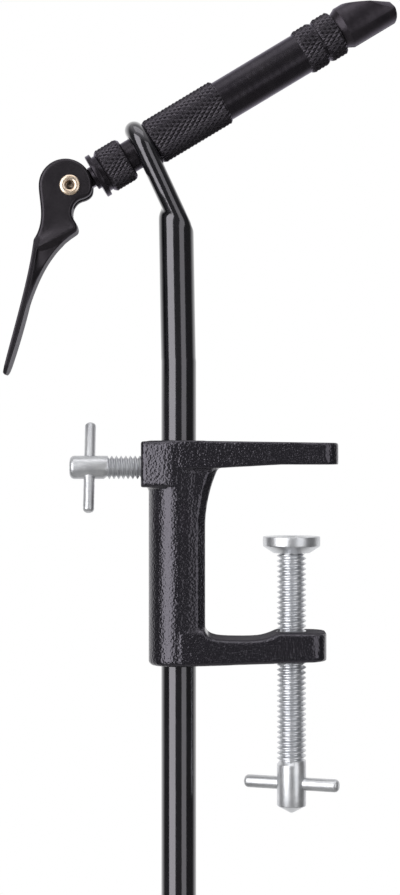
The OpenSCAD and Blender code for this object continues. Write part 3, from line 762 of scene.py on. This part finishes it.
def makeStem(s):
    # drawn about the rod's own axis: first the overlapping volumes of the forged head
    foot = boxOf("stem")[0].z
    onRod = Matrix.Translation((stemX * mm, 0, 0)) @ inVise
    eye = eyeCentre - Vector((stemX, 0, 0))
    radius = s["radius"]
    rodLean = math.radians(s["lean"])
    bend = Vector(((s["leanFrom"] - s["bendHeight"]) * math.tan(rodLean), 0, s["bendHeight"]))
    neckLean = math.atan2(bend.x - eye.x, eye.z - bend.z)
    reach = (eye - bend).length
    alongNeck = Matrix.Translation(bend) @ Matrix.Rotation(-neckLean, 4, "Y")
    head = bmesh.new()

    # rod with a domed shoulder, its outer side forged off in line with the neck
    part = bmesh.new()
    rise = s["shoulder"] - s["leanFrom"]
    dome = [(radius * math.cos(a), rise + radius * math.sin(a)) for a in (0.2, 0.4, 0.6, 0.8, 1.0, 1.2, 1.4)]
    turnOnLathe(part, [(0, -6), (radius, -6), (radius, rise)] + dome + [(0, rise + radius)], 96)
    for v in part.verts:
        v.co.z += s["leanFrom"]
        v.co.x -= max(v.co.z - s["leanFrom"], 0) * math.tan(rodLean)
    outward = Vector((math.cos(neckLean), 0, math.sin(neckLean)))
    cutPlane(part, bend + outward * (s["neckThick"] / 2 - 0.2), outward)
    addTo(head, part)

    # the round section spreads into the flat neck, which runs on into the eye
    def neckRing(height, width):
        half, straight = s["neckThick"] / 2, (width - s["neckThick"]) / 2
        points = []
        for i in range(48):
            a = fullTurn * (i + 0.5) / 48
            side = half * math.sin(a) + math.copysign(straight, math.sin(a))
            points.append(alongNeck @ Vector((half * math.cos(a), side, height)))
        return points
    spreadFrom, spreadTo = s["spread"]
    part = bmesh.new()
    edges = newEdges(part, neckRing(spreadFrom, 2 * radius - 0.8), True)[1]
    bmesh.ops.holes_fill(part, edges=edges, sides=0)
    for height, width in ((spreadTo, s["neckWidth"]), (reach, 2 * s["eyeRadius"])):
        edges = growLoop(part, edges, neckRing(height, width))
    bmesh.ops.holes_fill(part, edges=edges, sides=0)
    addTo(head, part)

    # the eye is a thick ring with a half-round rim
    half = s["eyeThick"] / 2
    rim = s["eyeRadius"] - half
    part = bmesh.new()
    angles = [math.radians(a) for a in range(-90, 91, 10)]
    arc = [(rim + half * math.cos(a), half * math.sin(a)) for a in angles]
    turnOnLathe(part, [(0, -half)] + arc + [(0, half)], 96)
    bmesh.ops.transform(part, matrix=onRod.inverted() @ onBarrel, verts=part.verts)
    addTo(head, part)
    piece = toObject("stemWithEye", head, onRod)
    castTogether(piece, s["voxel"], s["softenSteps"])

    # below the head the rod is round and straight down to its foot
    bm = bmesh.new()
    bm.from_mesh(piece.data)
    bpy.data.objects.remove(piece)
    bmesh.ops.transform(bm, matrix=onRod.inverted(), verts=bm.verts)
    level = s["cutBelow"]
    trimPlane(bm, (0, 0, level), (0, 0, -1))
    chamfer = s["footChamfer"]
    growRings(bm, ringEdges(bm, level),
              [(radius, level - 1), (radius, foot + chamfer), (radius - chamfer, foot)])
    piece = toObject("stemWithEye", bm, onRod)
    hole = boreCutter(s["eyeHole"], -12, 12, 0.25, [(-half, False), (half, True)])
    tapped = bmesh.new()
    turnOnLathe(tapped, [(0, 0), (s["setScrew"], 0), (s["setScrew"], 12), (0, 12)], 32)
    carve(piece, [(hole, onBarrel), (tapped, placeAt(eyeCentre, Vector((0, 1, 0)), barrelAxis))])
    finishPiece(piece, "stem", ["stem"], glossEnamel, 40)


makeStem(stem)


# Barrel with its knurled grip and rings, washer and collar

knurl = {"diamonds": 30, "row": 0.565, "depth": 0.34}
barrel = {
    "neck": 4.35, "rear": -12.5, "groove": (-0.9, 0.9, 3.85), "grip": (2.7, 24.5, 6.45), "smooth": 5.7,
    "rings": ((49.9, 55.5, 6.35), (56.0, 61.2, 6.35)), "band": 5.55, "bore": 4.3, "rearBore": 2.62,
    "springSeat": 5, "mouth": (57.6, 5.82), "bevel": 0.5,
}
collar = {
    "radius": 6.25, "from": -12.9, "to": -5.3, "bore": 4.4, "neck": 5.2, "neckFrom": -13.84, "bevel": 0.8,
    "diamonds": 32, "row": 0.52, "depth": 0.3,
}
washer = {
    "radius": 6.25, "front": -13.9, "back": -15.3, "hub": 3.25, "hubBack": -16.35, "bore": 2.62, "edge": 0.18,
}


def knurledRows(low, high, radius, row, bevel):
    # profile points of a band that is to be knurled, its two rims bevelled
    count = round((high - low) / row)
    points = []
    for j in range(count + 1):
        h = low + (high - low) * j / count
        edge = min(h - low, high - h)
        points.append((radius - max(bevel - edge, 0), h))
    return points


def pressKnurl(bm, low, high, radius, diamonds, row, depth, bevel):
    # two families of V grooves, left and right-handed, leave rows of pointed diamonds
    count = round((high - low) / row)
    step = (high - low) / count
    floors = []
    for v in bm.verts:
        r = math.hypot(v.co.x, v.co.y)
        h = v.co.z
        if r < radius - bevel - 1e-3 or h < low - 1e-3 or h > high + 1e-3:
            continue
        i = round(math.atan2(v.co.y, v.co.x) / fullTurn * 4 * diamonds) % 4
        j = round((h - low) / step) % 4
        away = min(abs(i - p) + abs(j - q) for p, q in ((0, 0), (2, 2), (4, 0), (0, 4), (4, 4)))
        cut = min(radius - depth * away / 2, radius - max(bevel - min(h - low, high - h), 0))
        v.co.x *= cut / r
        v.co.y *= cut / r
        if away == 2:
            floors.append(v)
    bmesh.ops.connect_verts(bm, verts=floors)


def makeBarrel(s, k):
    bm = bmesh.new()
    grooveFrom, grooveTo, grooveRadius = s["groove"]
    gripFrom, gripTo, gripRadius = s["grip"]
    mouthFrom, mouthRadius = s["mouth"]
    profile = [(s["rearBore"], s["rear"]), (s["neck"] - 0.4, s["rear"]), (s["neck"], s["rear"] + 0.4),
               (s["neck"], grooveFrom), (grooveRadius, grooveFrom), (grooveRadius, grooveTo),
               (s["neck"], grooveTo), (s["neck"], gripFrom)]
    profile += knurledRows(gripFrom, gripTo, gripRadius, k["row"], s["bevel"])
    profile += [(s["smooth"], gripTo), (s["smooth"], s["rings"][0][0])]
    profile += knurledRows(*s["rings"][0], k["row"], s["bevel"])
    profile += [(s["band"], s["rings"][0][1]), (s["band"], s["rings"][1][0])]
    profile += knurledRows(*s["rings"][1], k["row"], s["bevel"])
    profile += [(mouthRadius, s["rings"][1][1]), (s["bore"], mouthFrom), (s["bore"], s["springSeat"]),
                (s["rearBore"], s["springSeat"])]
    turnOnLathe(bm, profile, 4 * k["diamonds"], True)
    for low, high, radius in (s["grip"], *s["rings"]):
        pressKnurl(bm, low, high, radius, k["diamonds"], k["row"], k["depth"], s["bevel"])
    piece = toObject("barrelSleeve", bm, onBarrel)
    finishPiece(piece, "barrel", ["barrel"], turnedOxide, 25)


def makeCollar(s):
    bm = bmesh.new()
    profile = [(s["bore"], s["neckFrom"]), (s["neck"], s["neckFrom"]), (s["neck"], s["from"])]
    profile += knurledRows(s["from"], s["to"], s["radius"], s["row"], s["bevel"])
    profile += [(s["bore"], s["to"])]
    turnOnLathe(bm, profile, 4 * s["diamonds"], True)
    pressKnurl(bm, s["from"], s["to"], s["radius"], s["diamonds"], s["row"], s["depth"], s["bevel"])
    piece = toObject("adjustingCollarKnurled", bm, onBarrel)
    finishPiece(piece, "adjusting_collar", ["adjusting_collar"], turnedOxide, 25)


def makeWasher(s):
    bm = bmesh.new()
    turnOnLathe(bm, [(s["bore"], s["hubBack"]), (s["hub"], s["hubBack"]), (s["hub"], s["back"]),
                     (s["radius"], s["back"]), (s["radius"], s["front"]), (s["bore"], s["front"])], 96, True)
    softenEdges(bm, s["edge"], 3, 30)
    piece = toObject("thrustWasherFlanged", bm, onBarrel)
    finishPiece(piece, "thrust_washer", ["thrust_washer"], turnedOxide)


makeBarrel(barrel, knurl)
makeCollar(collar)
makeWasher(washer)
print("vise: barrel done")


# Collet jaws

jaws = {
    "leg": 4.22, "from": 31.08, "cone": 59.5, "rim": (62.0, 5.2), "full": (63.4, 5.95), "end": 77.4,
    "slit": 1.0, "slopeFrom": (5.5, 66.4), "slopeTo": (-0.7, 77.2), "bevelFrom": (0.46, 73.5),
    "bevelSlant": (0.91, 0.97, 1.0), "edge": 0.16,
}


def makeJaw(name, node, side, s):
    radius = s["full"][1]
    end = s["end"]
    bm = bmesh.new()
    turnOnLathe(bm, [(0, s["from"]), (s["leg"], s["from"]), (s["leg"], s["cone"]), (s["rim"][1], s["rim"][0]),
                     (radius, s["full"][0]), (radius, end), (0, end)], 96)
    # side view: X is up from the barrel's axis, Z runs towards the tip, and the nose is round
    nose = bezier((-radius, end - 1.5), (-radius + 0.2, end - 0.4), (-3.8, end), (-2.4, end), 6)
    outline = [s["slopeFrom"], s["slopeTo"], *reversed(nose)]
    for (x0, z0), (x1, z1) in zip(outline, outline[1:]):
        cutPlane(bm, (x0, 0, z0), (z1 - z0, 0, x0 - x1))
    # the tip's upper outer corner is ground away on a slant
    up, along = s["bevelFrom"]
    slantUp, slantOut, slantOn = s["bevelSlant"]
    out = math.sqrt(radius * radius - up * up)
    cutPlane(bm, (up, side * out, along), (slantUp, side * slantOut, slantOn))
    cutPlane(bm, (0, side * s["slit"] / 2, 0), (0, -side, 0))
    softenEdges(bm, s["edge"], 3, 24)
    piece = toObject(name, bm, onBarrel)
    finishPiece(piece, node, [node], groundOxide)


# the barrel's frame has its Y towards the camera, so the near jaw is on its positive side
makeJaw("nearJaw", "jaw_near", 1, jaws)
makeJaw("farJaw", "jaw_far", -1, jaws)


# Cam lever and its rivet

lever = {
    "throw": 1.2, "camRadius": 7.25, "headWidth": 10, "bladeWidth": 12.5, "edge": 0.6,
    "crease": 28.6, "creaseAt": -10.8, "creaseRun": 1.9, "flareRun": 5, "flareFront": 1, "flareBack": -7,
    "widenFrom": -13, "widenTo": -17.5, "tip": -51.2, "tipCorner": 3.2,
    "ridge": 4.4, "ridgeTop": -15.5, "ridgeLength": 21, "fullFrom": -18, "fullTo": -27,
    "slot": 3.3, "slotRadius": 4.6, "slotRest": 41, "slotSwung": -30, "slotSide": -3.6,
    "pinHole": 1.96, "voxel": 0.18, "softenSteps": 12,
}
rivet = {"hole": 1.2, "sunk": 2.2, "shank": 1.93, "head": 2.78, "headThick": 0.55}


def sampleAt(points, height):
    # the outline's x at a height, between its points
    for (x0, z0), (x1, z1) in zip(points, points[1:]):
        if min(z0, z1) <= height <= max(z0, z1) and z0 != z1:
            return x0 + (x1 - x0) * (height - z0) / (z1 - z0)
    return points[-1][0]


def makeLever(s):
    throw, cam, tip = s["throw"], s["camRadius"], s["tip"]
    headHalf, bladeHalf = s["headWidth"] / 2, s["bladeWidth"] / 2

    def arcPoints(x, z, radius, first, last, steps):
        turns = [math.radians(first + (last - first) * i / steps) for i in range(steps + 1)]
        return [(x + radius * math.cos(a), z + radius * math.sin(a)) for a in turns]
    back = bezier((-9.7, -14.5), (-10.6, -24), (-14.9, -38), (-18.1, -50.6), 20)
    back += [(-17.7, tip), (-17.4, tip)]
    front = bezier((-17.1, -50.6), (-12.8, -40), (-10.95, -20.5), (1.3, -12.81), 24)
    whole = arcPoints(-throw, 0, cam, -8, 180, 60)
    whole += bezier((-throw - cam, 0), (-8.45, -4), (-6.4, -9.5), (-9.7, -14.5), 14)[1:-1] + back
    whole += front
    whole += arcPoints(0.6, -11.6, 1.4, -55, 25, 10)
    whole += bezier((1.8, -10.5), (1.3, -9.3), (0.46, -8.9), (0.48, -7.4), 8)
    whole += bezier((0.48, -7.4), (0.5, -5.8), (1.4, -4.1), (2.9, -3.65), 8)[1:]
    whole += bezier((2.9, -3.65), (4.4, -3.3), (5.8, -2.6), (5.98, -1.02), 8)[1:]
    plate = bezier((-17.0, -50.6), (-13.05, -39.4), (-9.0, -24), (-8.2, -13.5), 20)

    # head: its cheeks spread a little downwards and end at a slanting crease
    bm = bmesh.new()
    raiseSoftSlab(bm, whole, s["headWidth"], s["edge"])
    turn = math.radians(s["crease"])
    crease, run = s["creaseAt"], s["creaseRun"]
    slant = Vector((-math.sin(turn), 0, math.cos(turn)))

    def cheekHalfWidth(point):
        # hollow: it keeps steepening outwards down to the crease, most of all near its back
        above = point.dot(slant) - crease
        share = min(max(1 - above / s["flareRun"], 0), 1)
        most = (bladeHalf - headHalf) * (0.4 + 0.6 * easeBetween(point.x, s["flareFront"], s["flareBack"]))
        wide = headHalf + most * share ** 3
        return wide + (s["ridge"] - wide) * min(max(-above / run, 0), 1)
    cutAcross(bm, [crease - run * i / 8 for i in range(9)], slant)
    cutAcross(bm, [crease + s["flareRun"] * i / 12 for i in range(1, 13)], slant)
    cutAcross(bm, [s["flareFront"] - i for i in range(9)], (1, 0, 0))
    drawSides(bm, headHalf, cheekHalfWidth)

    # thumb blade: thin, wider than the head, round at its end
    part = bmesh.new()
    raiseOutline(part, back + plate, s["bladeWidth"])
    corner = s["tipCorner"]

    def bladeHalfWidth(z):
        past = min(max((tip + corner - z) / corner, 0), 1)
        wide = headHalf + (bladeHalf - headHalf) * easeBetween(z, s["widenFrom"], s["widenTo"])
        return wide - corner + corner * math.sqrt(1 - past * past)
    steps = [s["widenTo"] + i * 0.5 for i in range(9)]
    steps += [tip + corner - corner * math.sin(math.radians(a)) for a in range(0, 88, 8)]
    cutAcross(part, steps, (0, 0, 1))
    drawSides(part, bladeHalf, lambda point: bladeHalfWidth(point.z))
    addTo(bm, part)

    # its front is a ridge between two hollows, and lower down one full curve
    def ridgeRing(z):
        base, edge = sampleAt(plate, z) - 0.3, sampleAt(front, z)
        side = bladeHalfWidth(z) - 0.25
        full = easeBetween(z, s["fullFrom"], s["fullTo"])
        out, ridge = edge - base, s["ridge"]
        near = (ridge + 0.9) * (1 - full) + (side - 0.15) * full
        middle = (ridge + 0.3) * (1 - full) + (side - 0.9) * full
        hollow = bezier((base, side), (base + out * (0.08 + 0.25 * full), near),
                        (base + out * (0.5 + 0.4 * full), middle), (edge, ridge), 8)
        return [Vector((x, y, z)) for x, y in hollow] + [Vector((x, -y, z)) for x, y in reversed(hollow)]
    part = bmesh.new()
    edges = newEdges(part, ridgeRing(s["ridgeTop"]), True)[1]
    bmesh.ops.holes_fill(part, edges=edges, sides=0)
    for i in range(1, s["ridgeLength"] + 1):
        edges = growLoop(part, edges, ridgeRing(s["ridgeTop"] - i))
    bmesh.ops.holes_fill(part, edges=edges, sides=0)
    addTo(bm, part)
    piece = toObject("camLeverForged", bm, atPin)
    castTogether(piece, s["voxel"], s["softenSteps"])

    slot = bmesh.new()
    half, reach = s["slot"] / 2, s["slotRadius"]
    turnOnLathe(slot, [(0, -half), (reach, -half), (reach, half), (0, half)], 64)
    gaps = [(slot, throughPin)]
    # the fork is open from where the tongue points at rest to where it points at full swing
    for turn, shiftX, shiftZ in ((s["slotRest"], s["slotSide"], 0), (s["slotSwung"], 0, -reach)):
        gap = bmesh.new()
        turned = Matrix.Rotation(math.radians(turn), 2)
        corners = ((0, 0), (20, 0), (20, 20), (0, 20))
        raiseOutline(gap, [turned @ Vector((x + shiftX, z + shiftZ)) for x, z in corners], s["slot"])
        gaps.append((gap, atPin))
    hole = bmesh.new()
    half = headHalf + 1
    turnOnLathe(hole, [(0, -half), (s["pinHole"], -half), (s["pinHole"], half), (0, half)], 48)
    gaps.append((hole, throughPin))
    carve(piece, gaps)
    finishPiece(piece, "lever", ["cam_lever"], leverOxide, 40)


def makeRivet(s, width):
    # semi-tubular: a flat head behind, and in front the hollow end rolled over round its recess
    half = width / 2
    bulge, hole, head = s["headThick"], s["hole"], s["head"]
    floor = half - s["sunk"]
    behind = [(0, 1), (head - 0.6, 1), (head - 0.15, 0.7), (head, 0)]
    inFront = [(head, 0), (head, 0.3), (head - 0.12, 0.6), (head - 0.4, 0.85), (hole + 0.75, 1),
               (hole + 0.35, 0.9), (hole + 0.1, 0.5)]
    profile = [(x, -half - bulge * share) for x, share in behind] + [(s["shank"], -half), (s["shank"], half)]
    profile += [(x, half + bulge * share) for x, share in inFront]
    profile += [(hole, half - 0.2), (hole, floor), (0, floor - 0.4)]
    bm = bmesh.new()
    turnOnLathe(bm, profile, 48)
    piece = toObject("semiTubularRivet", bm, throughPin)
    finishPiece(piece, "lever", ["pivot_pin"], rivetBrass)


makeLever(lever)
makeRivet(rivet, lever["headWidth"])
print("vise: lever done")


# Spring inside the barrel

spring = {
    "wire": 0.4, "coil": 3.7, "from": 5.5, "to": 23.5, "turns": 9, "steps": 40, "sides": 12, "drawn": 1.85,
}


def makeSpring(s):
    bm = bmesh.new()
    wire = s["wire"]
    angles = [fullTurn * i / s["sides"] for i in range(s["sides"])]
    section = [(s["coil"] + wire * math.cos(a), 0, s["from"] + wire * math.sin(a)) for a in angles]
    verts, edges = newEdges(bm, section, True)
    count = s["turns"] * s["steps"]
    bmesh.ops.spin(bm, geom=verts + edges, cent=(0, 0, 0), axis=(0, 0, 1),
                   dvec=(0, 0, (s["to"] - s["from"]) / count), angle=fullTurn * s["turns"], steps=count,
                   use_merge=False, use_duplicate=False)
    bmesh.ops.holes_fill(bm, edges=[e for e in bm.edges if e.is_boundary], sides=0)
    piece = toObject("returnSpringWound", bm, onBarrel)
    finishPiece(piece, "barrel", ["return_spring"], springSteel)
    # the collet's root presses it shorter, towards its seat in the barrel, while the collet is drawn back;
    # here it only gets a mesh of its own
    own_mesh(piece)


makeSpring(spring)

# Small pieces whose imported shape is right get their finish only
for node, material in (("draw_rod", rodOxide), ("collet_key_pin", pinSteel), ("eye_set_screw", pinSteel),
                       ("lock_pad", padBrass), ("stem_foot_cap", mouldedCap)):
    packed = frame["nodes"][node]
    packed.data.materials.clear()
    packed.data.materials.append(material)
print("vise: pieces done")


# Floor, light and camera

studio = {
    "floorRadius": 4, "floorHeight": -0.62, "floorColour": "#f4f4f2", "shadeReach": 0.9, "backdrop": 1.0,
    "front": 0.12, "side": 0.08, "fill": 0.2,
}
softboxes = (
    {"name": "leftSoftbox", "turn": -43, "lift": 8, "away": 1.2, "size": (1.0, 1.5), "power": 15},
    {"name": "rightSoftbox", "turn": 35, "lift": 4, "away": 1.3, "size": (0.75, 1.5), "power": 4.6},
    {"name": "topSoftbox", "turn": -10, "lift": 80, "away": 1.3, "size": (1.2, 0.8), "power": 4.2},
)
view = {"distance": 0.578, "across": -0.02492, "height": 0.0046, "lens": 85.4}


def roomLight(tree, direction, s):
    # what polished surfaces mirror: white backdrop behind, dim room in front, and a pale ceiling
    parts = addNode(tree, "SeparateXYZ", {0: direction}).node.outputs
    half = addNode(tree, "Math", {"operation": "MULTIPLY_ADD", 0: parts["Y"], 1: 0.5, 2: 0.5})
    around = addNode(tree, "ValToRGB", {"Fac": half, "stops": [(0.0, s["front"]), (0.25, s["side"]),
                                                               (0.62, s["side"]), (0.8, s["backdrop"])]})
    ceiling = addNode(tree, "ValToRGB", {"Fac": parts["Z"],
                                         "stops": [(0.2, 0.0), (0.55, 0.26), (0.8, 0.8), (1.0, 0.6)]})
    return addNode(tree, "Math", {"operation": "MAXIMUM", 0: around, 1: ceiling})


def directRays(tree, rays):
    # 1 where the camera sees a surface itself, or through glass
    return addNode(tree, "Math", {"operation": "MAXIMUM", 0: rays["Is Camera Ray"],
                                  1: rays["Is Transmission Ray"]})


def makeFloor(s):
    bm = bmesh.new()
    bmesh.ops.create_circle(bm, cap_ends=True, segments=96, radius=s["floorRadius"])
    bmesh.ops.translate(bm, vec=(0, 0, s["floorHeight"]), verts=bm.verts)
    mesh = bpy.data.meshes.new("studioFloor")
    bm.to_mesh(mesh)
    bm.free()
    floor = bpy.data.objects.new("studioFloor", mesh)
    scene.collection.objects.link(floor)

    # Matt white paper sweep: keeps the shadow near the object and fades to the white backdrop
    material, tree, place = newMaterial("paperSweep")
    paper = addNode(tree, "BsdfPrincipled", {"Base Color": colour(s["floorColour"]), "Roughness": 0.9,
                                             "Specular IOR Level": 0.1})
    flat = addNode(tree, "VectorMath", {"operation": "MULTIPLY", 0: place, 1: (1, 1, 0)})
    far = addNode(tree, "VectorMath", {"operation": "LENGTH", 0: flat}, "Value")
    farShare = addNode(tree, "Math", {"operation": "DIVIDE", 0: far, 1: s["shadeReach"]})
    fade = addNode(tree, "ValToRGB", {"Fac": farShare, "stops": [(0.25, 0.45), (1.0, 1.0)]})
    rays = addNode(tree, "LightPath", {}).node.outputs
    mirrored = rays["Is Glossy Ray"]
    seen = addNode(tree, "Math", {"operation": "MAXIMUM", 0: directRays(tree, rays), 1: mirrored})
    share = addNode(tree, "Math", {"operation": "MULTIPLY", 0: fade, 1: seen})
    outward = addNode(tree, "VectorMath", {"operation": "NORMALIZE", 0: place})
    glow = addNode(tree, "Mix", {"data_type": "RGBA", "Factor": mirrored, 6: (*[s["backdrop"]] * 3, 1),
                                 7: roomLight(tree, outward, s)}, 2)
    lit = addNode(tree, "Emission", {"Color": glow})
    blend = addNode(tree, "MixShader", {"Fac": share, 1: paper, 2: lit})
    addNode(tree, "OutputMaterial", {"Surface": blend})
    mesh.materials.append(material)


def makeWorld(s):
    world = bpy.data.worlds.new("studio")
    scene.world = world
    world.use_nodes = True
    tree = world.node_tree
    tree.nodes.clear()
    direction = addNode(tree, "TexCoord", {}, "Generated")
    rays = addNode(tree, "LightPath", {}).node.outputs
    lit = addNode(tree, "Mix", {"data_type": "RGBA", "Factor": rays["Is Glossy Ray"],
                                6: (*[s["fill"]] * 3, 1), 7: roomLight(tree, direction, s)}, 2)
    sky = addNode(tree, "Mix", {"data_type": "RGBA", "Factor": directRays(tree, rays), 6: lit,
                                7: (*[s["backdrop"]] * 3, 1)}, 2)
    addNode(tree, "OutputWorld", {"Surface": addNode(tree, "Background", {"Color": sky})})


def aim(thing, place, target):
    turn = (target - place).to_track_quat("-Z", "Y").to_matrix().to_4x4()
    thing.matrix_world = Matrix.Translation(place) @ turn


def makeSoftbox(s):
    light = bpy.data.lights.new(s["name"], "AREA")
    light.shape = "RECTANGLE"
    light.size, light.size_y = s["size"]
    light.energy = s["power"]
    lamp = bpy.data.objects.new(s["name"], light)
    scene.collection.objects.link(lamp)
    lamp.visible_camera = False
    turn, lift = math.radians(s["turn"]), math.radians(s["lift"])
    middle = (cadBox[0] + cadBox[1]) / 2
    out = Vector((math.sin(turn) * math.cos(lift), -math.cos(turn) * math.cos(lift), math.sin(lift)))
    aim(lamp, middle + out * s["away"], middle)


def makeCamera(s):
    data = bpy.data.cameras.new("camera")
    data.lens = s["lens"]
    data.sensor_width = 36
    camera = bpy.data.objects.new("camera", data)
    scene.collection.objects.link(camera)
    scene.camera = camera
    eye = Vector((s["across"], -s["distance"], s["height"]))
    aim(camera, eye, eye + Vector((0, 1, 0)))


makeFloor(studio)
makeWorld(studio)
for softbox in softboxes:
    makeSoftbox(softbox)
makeCamera(view)
scene.view_settings.view_transform = "Standard"
print("vise: studio done")
